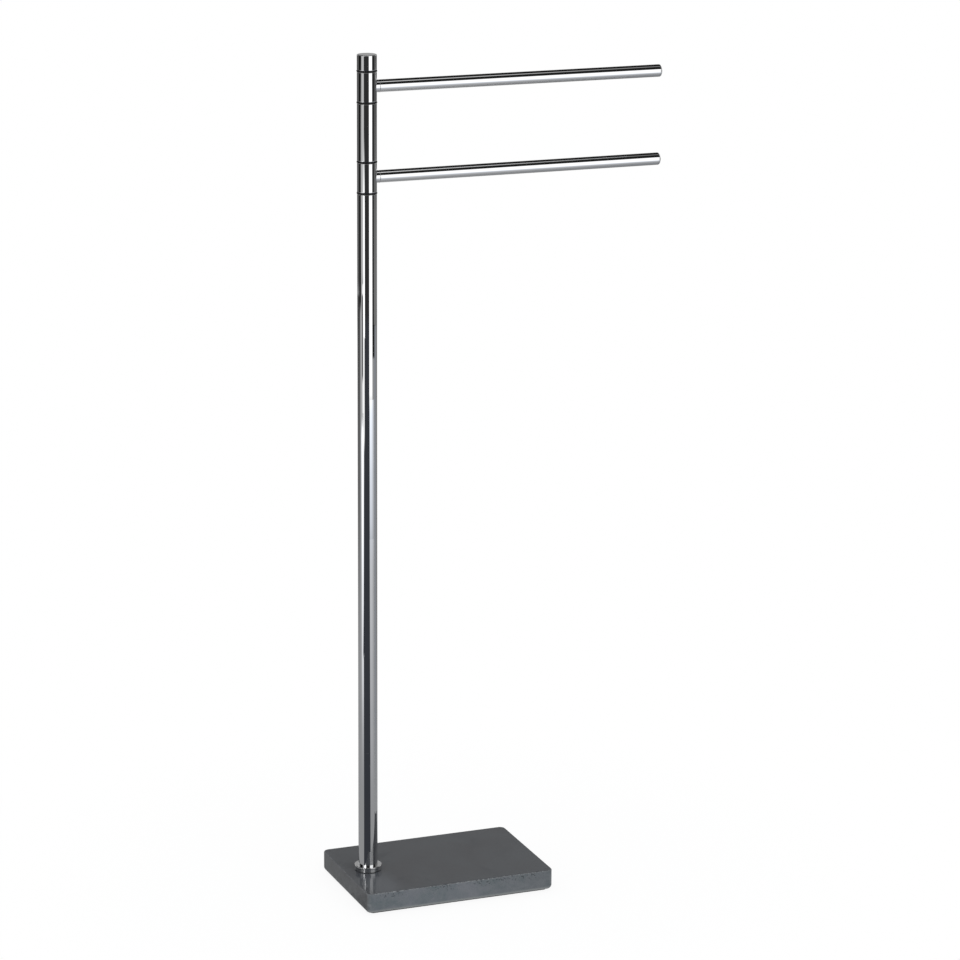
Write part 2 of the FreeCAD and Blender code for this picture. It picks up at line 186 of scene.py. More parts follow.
def make_fine_grain():
    """Fine pits and grains of the bulk material, as a height and as a fleck mask."""
    tree, given, result = new_effect(
        "fine_grain",
        [("Place", "Vector", None), ("Grains per Metre", "Float", 900.0),
         ("Coarseness", "Float", 0.5), ("Fleck Share", "Float", 0.3)],
        ["Height", "Flecks"],
    )
    grain = shader_node(tree, "TexNoise", "grain", Detail=3.0, Vector=given["Place"],
                        Scale=given["Grains per Metre"], Roughness=given["Coarseness"])
    cells = shader_node(tree, "TexVoronoi", "grains", feature="F1", Vector=given["Place"],
                        Scale=given["Grains per Metre"])
    cell_tone = shader_node(tree, "SeparateColor", Color=cells.outputs["Color"]).outputs["Red"]
    height = times_plus(tree, cells.outputs["Distance"], -0.35, grain.outputs["Fac"])
    feed(tree, result["Height"], height)
    palest = maths(tree, "SUBTRACT", 1.0, given["Fleck Share"])
    flecks = stretch(tree, cell_tone, palest, maths(tree, "ADD", palest, 0.12))
    near = stretch(tree, cells.outputs["Distance"], 0.5, 0.25)
    feed(tree, result["Flecks"], times(tree, flecks, near))


def make_clouding():
    """Broad soft patches, as in a cast or plated surface."""
    tree, given, result = new_effect(
        "clouding",
        [("Place", "Vector", None), ("Patches per Metre", "Float", 20.0),
         ("Raggedness", "Float", 0.55), ("Contrast", "Float", 0.5)],
        ["Patches"],
    )
    cloud = shader_node(tree, "TexNoise", "patches", Detail=5.0, Distortion=0.6,
                        Vector=given["Place"], Scale=given["Patches per Metre"],
                        Roughness=given["Raggedness"])
    half = times_plus(tree, given["Contrast"], -0.3, 0.35)
    patches = stretch(tree, cloud.outputs["Fac"], maths(tree, "SUBTRACT", 0.5, half),
                      maths(tree, "ADD", 0.5, half))
    feed(tree, result["Patches"], patches)


def make_handling():
    """Where hands and cloths have been: smears and a few finger-sized prints."""
    tree, given, result = new_effect(
        "handling",
        [("Place", "Vector", None), ("Smears per Metre", "Float", 14.0),
         ("Amount", "Float", 0.5)],
        ["Smears"],
    )
    smear = shader_node(tree, "TexNoise", "smears", Detail=4.0, Roughness=0.6, Distortion=1.2,
                        Vector=given["Place"], Scale=given["Smears per Metre"])
    prints = shader_node(tree, "TexVoronoi", "prints", feature="SMOOTH_F1", Smoothness=0.35,
                         Vector=given["Place"], Scale=times(tree, given["Smears per Metre"], 3.2))
    wiped = stretch(tree, smear.outputs["Fac"], 0.46, 0.72)
    touched = times(tree, stretch(tree, prints.outputs["Distance"], 0.38, 0.2),
                    stretch(tree, smear.outputs["Fac"], 0.55, 0.6))
    feed(tree, result["Smears"], times(tree, larger(tree, wiped, touched), given["Amount"]))


def make_worn_edge():
    """Corners that rub: a bevel against the true normal, broken up along its length."""
    tree, given, result = new_effect(
        "worn_edge",
        [("Place", "Vector", None), ("Width", "Float", 0.001),
         ("Breaks per Metre", "Float", 260.0), ("Amount", "Float", 0.7)],
        ["Wear"],
    )
    rounded = shader_node(tree, "Bevel", "rounded normal", samples=4, Radius=given["Width"])
    turn = shader_node(tree, "VectorMath", "how far it turns", operation="DOT_PRODUCT")
    feed(tree, turn.inputs[0], rounded.outputs[0])
    feed(tree, turn.inputs[1], shader_node(tree, "NewGeometry").outputs["Normal"])
    edge = stretch(tree, turn.outputs["Value"], 0.995, 0.86)
    breaks = shader_node(tree, "TexNoise", "breaks", Detail=3.0, Roughness=0.65,
                         Vector=given["Place"], Scale=given["Breaks per Metre"])
    worn = times(tree, edge, stretch(tree, breaks.outputs["Fac"], 0.36, 0.62))
    feed(tree, result["Wear"], times(tree, worn, given["Amount"]))


def make_turning_lines():
    """Rings that a lathe tool or polishing mop leaves round an axis, with uneven spacing."""
    tree, given, result = new_effect(
        "turning_lines",
        [("Across", "Float", None), ("Along", "Float", None),
         ("Lines per Metre", "Float", 2500.0), ("Unevenness", "Float", 0.5)],
        ["Height"],
    )
    across = times(tree, given["Across"], given["Lines per Metre"])
    along = times(tree, given["Along"], given["Lines per Metre"])
    place = shader_node(tree, "CombineXYZ", X=across, Y=along)
    lines = shader_node(tree, "TexNoise", "lines", noise_dimensions="2D", Scale=1.0, Detail=2.0,
                        Vector=place.outputs[0], Roughness=given["Unevenness"])
    feed(tree, result["Height"], lines.outputs["Fac"])


def make_settled_dust():
    """A thin film on faces that look up, thicker in some places than others."""
    tree, given, result = new_effect(
        "settled_dust",
        [("Place", "Vector", None), ("Amount", "Float", 0.2),
         ("Drifts per Metre", "Float", 45.0)],
        ["Film"],
    )
    upward = stretch(tree, facing_parts(tree)["Z"], 0.35, 0.95)
    drifts = shader_node(tree, "TexNoise", "drifts", Detail=6.0, Roughness=0.7,
                         Vector=given["Place"], Scale=given["Drifts per Metre"])
    patchy = stretch(tree, drifts.outputs["Fac"], 0.3, 0.75, 0.25, 1.0)
    feed(tree, result["Film"], times(tree, times(tree, upward, patchy), given["Amount"]))


for make in (make_fine_grain, make_clouding, make_handling, make_worn_edge,
             make_turning_lines, make_settled_dust):
    make()


# ---------------------------------------------------------------- finishes

def own_place(tree):
    """The point on the stand, in metres, and its three parts."""
    place = shader_node(tree, "TexCoord").outputs["Object"]
    return place, split(tree, place)


def finished(tree, colour, roughness, heights, **plain):
    """One Principled shader. heights are (height, depth in metres) for its bumps."""
    shader = shader_node(tree, "BsdfPrincipled", **plain)
    feed(tree, shader.inputs["Base Color"], colour)
    feed(tree, shader.inputs["Roughness"], roughness)
    normal = None
    for height, depth in heights:
        bump = shader_node(tree, "Bump", Strength=1.0, Distance=depth, Height=height)
        if normal is not None:
            feed(tree, bump.inputs["Normal"], normal)
        normal = bump.outputs[0]
    feed(tree, shader.inputs["Normal"], normal)
    shader_node(tree, "OutputMaterial", Surface=shader.outputs[0])
    return shader


# How a surface was turned or polished: what its lines lie across and along. A line is drawn
# out along a tube, so it changes fifty times more slowly that way.

DRAWN_OUT = 0.02


def round_the_column(tree, parts):
    east = maths(tree, "SUBTRACT", parts["X"], COLUMN_X)
    squares = times_plus(tree, east, east, times(tree, parts["Y"], parts["Y"]))
    return maths(tree, "SQRT", squares), parts["Z"]


def along_the_column(tree, parts):
    return parts["X"], times(tree, parts["Z"], DRAWN_OUT)


def along_the_arm(tree, parts):
    return maths(tree, "ADD", parts["Y"], parts["Z"]), times(tree, parts["X"], DRAWN_OUT)


def polished_chrome(name, lines, line_depth, smears_per_metre, smear_amount):
    """Bright plate over polished metal. lines says how the metal was polished before plating."""
    material, tree = new_material(name)
    place, parts = own_place(tree)
    across, along = lines(tree, parts)
    mop = effect(tree, "turning_lines", Across=across, Along=along, Lines_per_Metre=3000.0,
                 Unevenness=0.6)
    hands = effect(tree, "handling", Place=place, Smears_per_Metre=smears_per_metre,
                   Amount=smear_amount)
    dust = effect(tree, "settled_dust", Place=place, Amount=0.05, Drifts_per_Metre=60.0)
    edge = effect(tree, "worn_edge", Place=place, Width=0.0006, Breaks_per_Metre=320.0,
                  Amount=0.6)
    plate = blend_colour(tree, hands["Smears"], (0.785, 0.79, 0.795), (0.73, 0.738, 0.748),
                         "plate")
    plate = blend_colour(tree, edge["Wear"], plate, (0.85, 0.855, 0.86), "brightened edge")
    plate = blend_colour(tree, dust["Film"], plate, (0.6, 0.6, 0.6), "dusted plate")
    rough = stretch(tree, hands["Smears"], 0.0, 1.0, 0.006, 0.03)
    rough = times_plus(tree, dust["Film"], 0.2, rough)
    rough = times_plus(tree, mop["Height"], 0.006, rough)
    finished(tree, plate, rough, [(mop["Height"], line_depth)], Metallic=1.0)
    return material


def moulded_nylon(name, body, worn, roughness, grain_depth):
    material, tree = new_material(name)
    place, _ = own_place(tree)
    grain = effect(tree, "fine_grain", Place=place, Grains_per_Metre=2600.0, Coarseness=0.6,
                   Fleck_Share=0.2)
    tone = effect(tree, "clouding", Place=place, Patches_per_Metre=90.0, Contrast=0.3)
    edge = effect(tree, "worn_edge", Place=place, Width=0.0004, Breaks_per_Metre=500.0,
                  Amount=0.8)
    dust = effect(tree, "settled_dust", Place=place, Amount=0.06)
    paler = [part * 1.35 for part in body]
    colour = blend_colour(tree, tone["Patches"], body, paler, "uneven tone")
    colour = blend_colour(tree, edge["Wear"], colour, worn, "rubbed edge")
    colour = blend_colour(tree, dust["Film"], colour, (0.3, 0.3, 0.3), "dust")
    rough = times_plus(tree, grain["Height"], 0.2, roughness - 0.1)
    finished(tree, colour, rough, [(grain["Height"], grain_depth)])
    return material


def rubber_sheet(name):
    material, tree = new_material(name)
    place, _ = own_place(tree)
    cells = effect(tree, "fine_grain", Place=place, Grains_per_Metre=1400.0, Coarseness=0.7,
                   Fleck_Share=0.15)
    scuffs = effect(tree, "handling", Place=place, Smears_per_Metre=22.0, Amount=0.8)
    tone = effect(tree, "clouding", Place=place, Patches_per_Metre=40.0, Contrast=0.4)
    colour = blend_colour(tree, tone["Patches"], (0.017, 0.017, 0.018), (0.028, 0.028, 0.029),
                          "bloom")
    colour = blend_colour(tree, scuffs["Smears"], colour, (0.055, 0.053, 0.05), "scuffs")
    # Painted shade: the open cells are painted darker, standing in for the shade inside them.
    colour = blend_colour(tree, cells["Flecks"], colour, (0.009, 0.009, 0.009), "painted shade in the open cells")
    rough = stretch(tree, scuffs["Smears"], 0.0, 1.0, 0.72, 0.88)
    finished(tree, colour, rough, [(cells["Height"], 0.00012)])
    return material


def zinc_plated_steel(name):
    material, tree = new_material(name)
    place, parts = own_place(tree)
    across, along = round_the_column(tree, parts)
    lathe = effect(tree, "turning_lines", Across=across, Along=along, Lines_per_Metre=2200.0,
                   Unevenness=0.7)
    spangle = effect(tree, "clouding", Place=place, Patches_per_Metre=420.0, Raggedness=0.7,
                     Contrast=0.9)
    edge = effect(tree, "worn_edge", Place=place, Width=0.0005, Breaks_per_Metre=380.0,
                  Amount=0.9)
    grain = effect(tree, "fine_grain", Place=place, Grains_per_Metre=1800.0, Coarseness=0.5,
                   Fleck_Share=0.12)
    colour = blend_colour(tree, spangle["Patches"], (0.46, 0.47, 0.49), (0.6, 0.6, 0.6), "zinc")
    colour = blend_colour(tree, grain["Flecks"], colour, (0.34, 0.34, 0.35), "dull spots")
    colour = blend_colour(tree, edge["Wear"], colour, (0.72, 0.72, 0.73), "bright edge")
    rough = stretch(tree, spangle["Patches"], 0.0, 1.0, 0.36, 0.22)
    rough = times_plus(tree, edge["Wear"], -0.08, rough)
    bumps = [(lathe["Height"], 0.00002), (grain["Height"], 0.00001)]
    finished(tree, colour, rough, bumps, Metallic=1.0)
    return material


def turned_aluminium(name):
    material, tree = new_material(name)
    place, parts = own_place(tree)
    across, along = round_the_column(tree, parts)
    lathe = effect(tree, "turning_lines", Across=across, Along=along, Lines_per_Metre=1500.0,
                   Unevenness=0.75)
    haze = effect(tree, "handling", Place=place, Smears_per_Metre=40.0, Amount=0.7)
    edge = effect(tree, "worn_edge", Place=place, Width=0.0005, Breaks_per_Metre=420.0,
                  Amount=0.8)
    colour = blend_colour(tree, haze["Smears"], (0.72, 0.72, 0.73), (0.58, 0.58, 0.6), "haze")
    colour = blend_colour(tree, edge["Wear"], colour, (0.85, 0.85, 0.86), "deburred edge")
    rough = times_plus(tree, lathe["Height"], 0.22, 0.2)
    finished(tree, colour, rough, [(lathe["Height"], 0.00003)], Metallic=1.0)
    return material


def painted_reflection_by_the_flange(tree, parts):
    """A long oval in front of the flange, where the sealed top is painted paler, as a painted
    reflection of the flange and column.
    """
    middle_x, middle_y = COLUMN_X - 0.004, -0.045
    across = times(tree, maths(tree, "SUBTRACT", parts["X"], middle_x), 40.0)
    along = times(tree, maths(tree, "SUBTRACT", parts["Y"], middle_y), 22.0)
    squares = maths(tree, "ADD", times(tree, across, across), times(tree, along, along))
    reach = maths(tree, "SQRT", squares)
    return stretch(tree, reach, 1.2, 0.4, 0.0, 0.62, "painted reflection by the flange")


def stone_resin(name):
    """Cast stone and resin. The top is sealed and darker. The long ground sides are painted paler
    and cooler than the short ones, as painted light from the front, and the top arris is chipped."""
    material, tree = new_material(name)
    place, parts = own_place(tree)
    turned = facing_parts(tree)
    side = stretch(tree, turned["Z"], 0.85, 0.4, label="side faces")
    long_side = stretch(tree, maths(tree, "ABSOLUTE", turned["Y"]), 0.3, 1.0,
                        label="long side faces")
    bared = shader_node(tree, "Attribute", attribute_name="bared_stone").outputs["Fac"]
    pitted = shader_node(tree, "Attribute", attribute_name="pitted_stone").outputs["Fac"]

    def clouds(per_metre, raggedness, contrast):
        return effect(tree, "clouding", Place=place, Patches_per_Metre=per_metre,
                      Raggedness=raggedness, Contrast=contrast)["Patches"]

    def grains(per_metre, coarseness, share):
        return effect(tree, "fine_grain", Place=place, Grains_per_Metre=per_metre,
                      Coarseness=coarseness, Fleck_Share=share)

    broad_clouds = clouds(14.0, 0.5, 0.25)
    clouded = clouds(38.0, 0.55, 0.3)
    mottled = clouds(120.0, 0.65, 0.5)
    crumbs = clouds(620.0, 0.6, 1.0)
    grit = grains(620.0, 0.6, 0.2)
    pits = grains(640.0, 0.5, 0.42)
    dots = grains(1500.0, 0.5, 0.1)
    hands = effect(tree, "handling", Place=place, Smears_per_Metre=7.0, Amount=0.8)
    dust = effect(tree, "settled_dust", Place=place, Amount=0.03, Drifts_per_Metre=35.0)

    top = blend_colour(tree, broad_clouds, (0.042, 0.0435, 0.0495), (0.049, 0.0545, 0.0615),
                       "clouded top")
    top = blend_colour(tree, times(tree, dots["Flecks"], 0.25), top, (0.09, 0.093, 0.098),
                       "stone dust in the resin")
    # Painted reflection: the top is painted paler in front of the flange, where the column and
    # flange are mirrored.
    top = blend_colour(tree, painted_reflection_by_the_flange(tree, parts), top, (0.08, 0.0885, 0.1005),
                       "painted reflection on the top")

    # Painted light: the long sides are painted paler and cooler than the short sides, standing in
    # for cool light from the front.
    short = blend_colour(tree, clouded, (0.084, 0.086, 0.088), (0.104, 0.106, 0.109),
                         "short side")
    long = blend_colour(tree, clouded, (0.08, 0.102, 0.112), (0.13, 0.137, 0.156), "long side")
    away = stretch(tree, parts["X"], -0.02, 0.114, 0.0, 0.5, "greyer to one end")
    long = blend_colour(tree, away, long, (0.074, 0.084, 0.09), "greyer end")
    ground = blend_colour(tree, long_side, short, long, "which side")
    ground = blend_colour(tree, times(tree, mottled, 0.38), ground, (0.15, 0.158, 0.167),
                          "saw bloom")
    ground = blend_colour(tree, times(tree, grit["Flecks"], 0.3), ground, (0.15, 0.16, 0.17),
                          "pale grit")
    ground = blend_colour(tree, times(tree, dots["Flecks"], 0.6), ground, (0.045, 0.05, 0.055),
                          "dark grit")
    # Painted light, not dust: the foot round is painted paler, standing in for light bounced up
    # from the white floor.
    below = stretch(tree, turned["Z"], 0.0, -0.55, label="foot round")
    ground = blend_colour(tree, below, ground, (0.185, 0.195, 0.2), "painted floor bounce on the foot")
    both_ways = maths(tree, "ABSOLUTE", times(tree, turned["X"], turned["Y"]))
    upright_corner = stretch(tree, both_ways, 0.25, 0.5, label="upright corners")
    # Painted highlight, not wear: the upright corners are painted paler where light catches them.
    rubbed = times(tree, upright_corner, times(tree, mottled, 0.5))
    ground = blend_colour(tree, rubbed, ground, (0.2, 0.212, 0.222), "painted highlight on the upright corners")

    colour = blend_colour(tree, side, top, ground, "top or side")
    broken = blend_colour(tree, crumbs, (0.10, 0.104, 0.108), (0.25, 0.262, 0.27),
                          "broken stone")
    colour = blend_colour(tree, bared, colour, broken, "bared stone")
    # Painted shade: the pits are painted dark, standing in for the shade inside them.
    holes = times(tree, pits["Flecks"], pitted)
    colour = blend_colour(tree, holes, colour, (0.02, 0.022, 0.024), "painted shade in the pits")
    colour = blend_colour(tree, dust["Film"], colour, (0.2, 0.2, 0.2), "dust")

    ground_rough = times_plus(tree, mottled, 0.12, 0.5)
    rough = stretch(tree, hands["Smears"], 0.0, 0.8, 0.46, 0.56)
    rough = larger(tree, rough, times(tree, side, ground_rough))
    rough = times_plus(tree, bared, 0.25, rough)
    seal = stretch(tree, side, 0.0, 1.0, 0.6, 0.04, "sealer on the top")
    seal = times_plus(tree, hands["Smears"], -0.12, seal)
    seal = times(tree, seal, maths(tree, "SUBTRACT", 1.0, bared))

    depth = stretch(tree, turned["Z"], 0.8, 0.35, 0.012, 1.0, "deeper on the sides")
    relief = times(tree, maths(tree, "ADD", grit["Height"], mottled), depth)
    relief = times_plus(tree, holes, -2.0, relief)
    plain = {"IOR": 1.5, "Specular IOR Level": 0.3, "Coat Roughness": 0.1, "Coat IOR": 1.5}
    shader = finished(tree, colour, rough, [(relief, 0.00015)], **plain)
    feed(tree, shader.inputs["Coat Weight"], seal)
    return material


# ---------------------------------------------------------------- the slab

SLAB = dict(half_x=0.114, half_y=0.078, foot=0.0015, top=0.0255, corner=0.007,
            top_round=0.0015, foot_round=0.005, recess=0.014, recess_depth=0.012,
            bolt_hole=0.0045)

# Rings of points: how far in from the top arris, and how far down from it
TOP_RINGS = (0.0062, 0.0034, 0.0024, 0.0016, 0.0009, 0.0004)
SIDE_RINGS = (0.0004, 0.0009, 0.0016, 0.0025, 0.004, 0.006, 0.0085, 0.0115, 0.0145)
TOP_ROUND_STEPS, FOOT_ROUND_STEPS = 7, 8
CORNER_STEPS, EDGE_SPACING, HOLE_SIDES = 18, 0.00072, 72
FOOT_RING, PAST_FOOT_RING = 0.001, 0.0088

# Wear, in metres: how deep the arris is rubbed and over what reach, and how deep the ground
# sides are hollowed. Nothing is cut farther in on the top than the untouched reach.
RUBBED_DEPTH, RUBBED_REACH = 0.00006, 0.0007
HOLLOW_DEPTH, HOLLOW_START = 0.00009, 0.003
UNTOUCHED_REACH = 0.004
BARED_REACH, BARING_FLAKE = 0.00055, 0.00016
PITS_START, PITS_FULL, PITS_REACH = -0.0008, 0.003, 0.0045
WEAR_ELSEWHERE = 0.55   # bared and pitted stone off the front, as a share of the front's
FRONT_FACING = -0.7     # a side belongs to the front if it faces farther than this toward -Y

# How quickly each kind of wear changes, per metre
RUBBED_PACE, HOLLOW_PACE, FLAKE_PACE = 420, 38, 2400
STREAK_PACE_ROUND, STREAK_PACE_DOWN = 260, 900

# Where the top arris is most pitted: (x, reach along the slab)
PITTED_RUNS = ((-0.085, 0.012), (-0.024, 0.014), (0.036, 0.026), (0.082, 0.016))

# The few deepest chips along the front: (x, depth)
DEEP_CHIPS = ((-0.003, 0.0006), (0.0105, 0.0008), (0.0215, 0.0007), (0.0335, 0.0006),
              (-0.083, 0.0005))
DEEP_CHIP_LENGTH = 0.0016
CHIP_CELL = 0.005       # chips are looked up by stretches of this length
CHIP_SEED = 23
CREASE_DEGREES = 50     # faces that meet at more than this angle keep a hard edge


def slab_stations():
    """Round the slab from its front left corner: (centre, outward direction, distance round)."""
    cx, cy = SLAB["half_x"] - SLAB["corner"], SLAB["half_y"] - SLAB["corner"]
    corners = [(-cx, -cy, 180), (cx, -cy, 270), (cx, cy, 0), (-cx, cy, 90)]
    stations, run = [], 0.0
    for number, (x, y, start) in enumerate(corners):
        for step in range(CORNER_STEPS):
            angle = math.radians(start + 90 * step / CORNER_STEPS)
            stations.append((x, y, math.cos(angle), math.sin(angle), run))
            run += SLAB["corner"] * math.pi / 2 / CORNER_STEPS
        next_x, next_y, _ = corners[(number + 1) % 4]
        length = math.hypot(next_x - x, next_y - y)
        pieces = round(length / EDGE_SPACING)
        angle = math.radians(start + 90)
        for step in range(pieces):
            share = step / pieces
            stations.append((x + (next_x - x) * share, y + (next_y - y) * share,
                             math.cos(angle), math.sin(angle), run))
            run += length / pieces
    return stations, run


def slab_profile():
    """From the top face over the arris and down to the foot, as rings of (outward, height,
    facing, past the arris)."""
    corner, top, foot = SLAB["corner"], SLAB["top"], SLAB["foot"]
    head, heel = SLAB["top_round"], SLAB["foot_round"]
    middle = head * math.pi / 4
    profile = [(corner - head - inward, top, 90.0, -middle - inward) for inward in TOP_RINGS]
    for step in range(TOP_ROUND_STEPS + 1):
        angle = 90 - 90 * step / TOP_ROUND_STEPS
        turn = math.radians(angle)
        profile.append((corner - head + head * math.cos(turn), top - head + head * math.sin(turn),
                        angle, head * math.radians(90 - angle) - middle))
    for down in SIDE_RINGS:
        profile.append((corner, top - head - down, 0.0, middle + down))
    past_side = middle + top - head - foot - heel
    for step in range(FOOT_ROUND_STEPS + 1):
        angle = -90 * step / FOOT_ROUND_STEPS
        turn = math.radians(angle)
        profile.append((corner - heel + heel * math.cos(turn),
                        foot + heel + heel * math.sin(turn),
                        angle, past_side + heel * math.radians(-angle)))
    profile.append((corner - heel - FOOT_RING, foot, -90.0, past_side + PAST_FOOT_RING))
    return profile


def slab_chips(around):
    """Chips along the top arris: (distance round, past the arris, half length, half width,
    depth). Small ones lie all the way round, larger ones at two places along the front."""
    dice = random.Random(CHIP_SEED)
    chips = []

    def front(x):
        return SLAB["corner"] * math.pi / 2 + (x + SLAB["half_x"] - SLAB["corner"])

    def add(where, length, depth):
        off = dice.uniform(-0.0006, 0.0007)
        chips.append((where, off, length, length * dice.uniform(0.45, 0.8), depth))

    for _ in range(150):
        add(dice.uniform(0, around), dice.uniform(0.0004, 0.0011),
            dice.uniform(0.00006, 0.0002))
    for _ in range(22):
        add(front(dice.uniform(-0.102, -0.060)), dice.uniform(0.0006, 0.0014),
            dice.uniform(0.0001, 0.0003))
    for _ in range(34):
        add(front(dice.uniform(-0.012, 0.042)), dice.uniform(0.0006, 0.0017),
            dice.uniform(0.00015, 0.00045))
    for x, depth in DEEP_CHIPS:
        add(front(x), DEEP_CHIP_LENGTH, depth)
    return chips


def chips_by_cell(chips):
    """The chips that reach into each short stretch of the way round."""
    cells = {}
    for chip in chips:
        where, _, length, _, _ = chip
        first, last = (where - length) // CHIP_CELL, (where + length) // CHIP_CELL
        for cell in range(int(first), int(last) + 1):
            cells.setdefault(cell, []).append(chip)
    return cells


def flake_depth(spot, run, past, chips):
    """How deep the deepest chip goes at a spot."""
    deepest = 0.0
    for where, off, length, width, depth in chips:
        far = ((run - where) / length) ** 2 + ((past - off) / width) ** 2
        if far < 1:
            ragged = 0.8 + 0.3 * noise.noise(spot * FLAKE_PACE)
            deepest = max(deepest, depth * (1 - far) ** 0.6 * ragged)
    return deepest


def slab_wear(spot, run, past, on_front, chips):
    """At a spot: how deep it is cut, how much stone is bared, and how pitted it is."""
    rubbed = math.exp(-(past / RUBBED_REACH) ** 2)
    cut = RUBBED_DEPTH * rubbed * (noise.noise(spot * RUBBED_PACE) * 0.5 + 0.5)
    if past > 0:
        hollow = max(0.0, noise.noise(spot * HOLLOW_PACE))
        cut += HOLLOW_DEPTH * hollow * min(1.0, past / HOLLOW_START)
    flake = flake_depth(spot, run, past, chips)
    cut += flake
    if past < -UNTOUCHED_REACH:
        cut = 0.0
    streaks = Vector((run * STREAK_PACE_ROUND, past * STREAK_PACE_DOWN, 3.0))
    streak = noise.noise(streaks) * 0.5 + 0.5
    thin = math.exp(-((past + 0.0001) / BARED_REACH) ** 2)
    front = 1.0 if on_front else WEAR_ELSEWHERE
    bared = min(1.0, 0.22 * flake / BARING_FLAKE + front * thin * (0.25 + 0.75 * streak))
    lower = max(0.0, past - PITS_FULL) / PITS_REACH
    worn_down = math.exp(-lower ** 2) if past > PITS_START else 0.0
    rough_run = sum(math.exp(-((spot.x - middle) / reach) ** 2) for middle, reach in PITTED_RUNS)
    return cut, bared, worn_down * min(1.0, 0.12 + rough_run * front)


def build_stone_slab():
    """The slab's skin with its wear, then the hole and the recess for the bolt."""
    stations, around = slab_stations()
    profile = slab_profile()
    chips = chips_by_cell(slab_chips(around))
    points, bared, pitted, faces = [], [], [], []
    for out, height, facing, past in profile:
        lean = math.radians(facing)
        for x, y, ux, uy, run in stations:
            spot = Vector((x + ux * out, y + uy * out, height))
            near = chips.get(int(run // CHIP_CELL), ())
            cut, bare, pits = slab_wear(spot, run, past, uy < FRONT_FACING, near)
            outward = Vector((ux * math.cos(lean), uy * math.cos(lean), math.sin(lean)))
            points.append(spot - outward * cut)
            bared.append(bare)
            pitted.append(pits)

    def circle(radius, height):
        first = len(points)
        for step in range(HOLE_SIDES):
            angle = math.tau * step / HOLE_SIDES
            points.append(Vector((COLUMN_X + radius * math.cos(angle),
                                  radius * math.sin(angle), height)))
            bared.append(0.0)
            pitted.append(0.0)
        return list(range(first, first + HOLE_SIDES))

    def one_on(ring):
        """The same ring, one point farther round."""
        return ring[1:] + ring[:1]

    def skin(upper, lower):
        """Faces between two rings of the outside."""
        for a, a_next, b, b_next in zip(upper, one_on(upper), lower, one_on(lower)):
            faces.append((a, b, b_next, a_next))

    def bore(upper, lower):
        """Faces between two rings of a hole, which look the other way."""
        for a, a_next, b, b_next in zip(upper, one_on(upper), lower, one_on(lower)):
            faces.append((a, a_next, b_next, b))

    def fill(outer, hole, upward):
        """A flat face with a hole in it."""
        ring = outer + hole
        edges = [[points[i] for i in outer], [points[i] for i in hole]]
        for corners in geometry.tessellate_polygon(edges):
            a, b, c = (ring[i] for i in corners)
            rises = (points[b] - points[a]).cross(points[c] - points[a]).z > 0
            faces.append((a, b, c) if rises == upward else (a, c, b))

    count = len(stations)
    rings = [list(range(ring * count, (ring + 1) * count)) for ring in range(len(profile))]
    for upper, lower in zip(rings, rings[1:]):
        skin(upper, lower)
    foot, recess_top = SLAB["foot"], SLAB["foot"] + SLAB["recess_depth"]
    hole = [circle(SLAB["bolt_hole"], SLAB["top"]), circle(SLAB["bolt_hole"], recess_top),
            circle(SLAB["recess"], recess_top), circle(SLAB["recess"], foot)]
    fill(rings[0], hole[0], True)
    for upper, lower in zip(hole, hole[1:]):
        bore(upper, lower)
    fill(rings[-1], hole[-1], False)

    mesh = bpy.data.meshes.new("stone_slab")
    mesh.from_pydata([tuple(p) for p in points], [], faces)
    for layer_name, values in (("bared_stone", bared), ("pitted_stone", pitted)):
        layer = mesh.attributes.new(layer_name, "FLOAT", "POINT")
        layer.data.foreach_set("value", values)
    mesh.polygons.foreach_set("use_smooth", [True] * len(mesh.polygons))
    mesh.set_sharp_from_angle(angle=math.radians(CREASE_DEGREES))
    mesh.update()
    slab = bpy.data.objects.new("stone_slab", mesh)
    scene.collection.objects.link(slab)
    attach(slab, "stand")
    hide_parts("base_slab")
    return slab


# ---------------------------------------------------------------- reflection cards

SHARP = 0.001           # the smallest fade at a card's edge
CARD_PIECES = 24        # a card is bent from this many flat pieces


def card_material(name, near_tone, far_tone, fades):
    """A glowing or dark card. Its tone runs from near_tone to far_tone up its height, and its
    left, right, near and far edges fade out over a share of its size."""
    material, tree = new_material(name)
    parts = split(tree, shader_node(tree, "UVMap").outputs["UV"])
    left, right, low, high = fades
    mask = None
    for axis, edge, inner in (("X", 0.0, left), ("X", 1.0, 1.0 - right),
                              ("Y", 0.0, low), ("Y", 1.0, 1.0 - high)):
        ramp = stretch(tree, parts[axis], edge, inner)
        mask = ramp if mask is None else times(tree, mask, ramp)
    tone = blend_colour(tree, parts["Y"], near_tone, far_tone)
    glow = shader_node(tree, "Emission", Strength=1.0, Color=tone)
    clear = shader_node(tree, "BsdfTransparent")
    faded = blend_shaders(tree, mask, clear.outputs[0], glow.outputs[0])
    shader_node(tree, "OutputMaterial", Surface=faded)
    material.cycles.emission_sampling = "NONE"
    return material


def tinted(tone, tint=(1.0, 1.0, 1.0)):
    """A card's colour from a single tone, or the colour itself if it already is one."""
    return tone if isinstance(tone, tuple) else tuple(tone * part for part in tint)


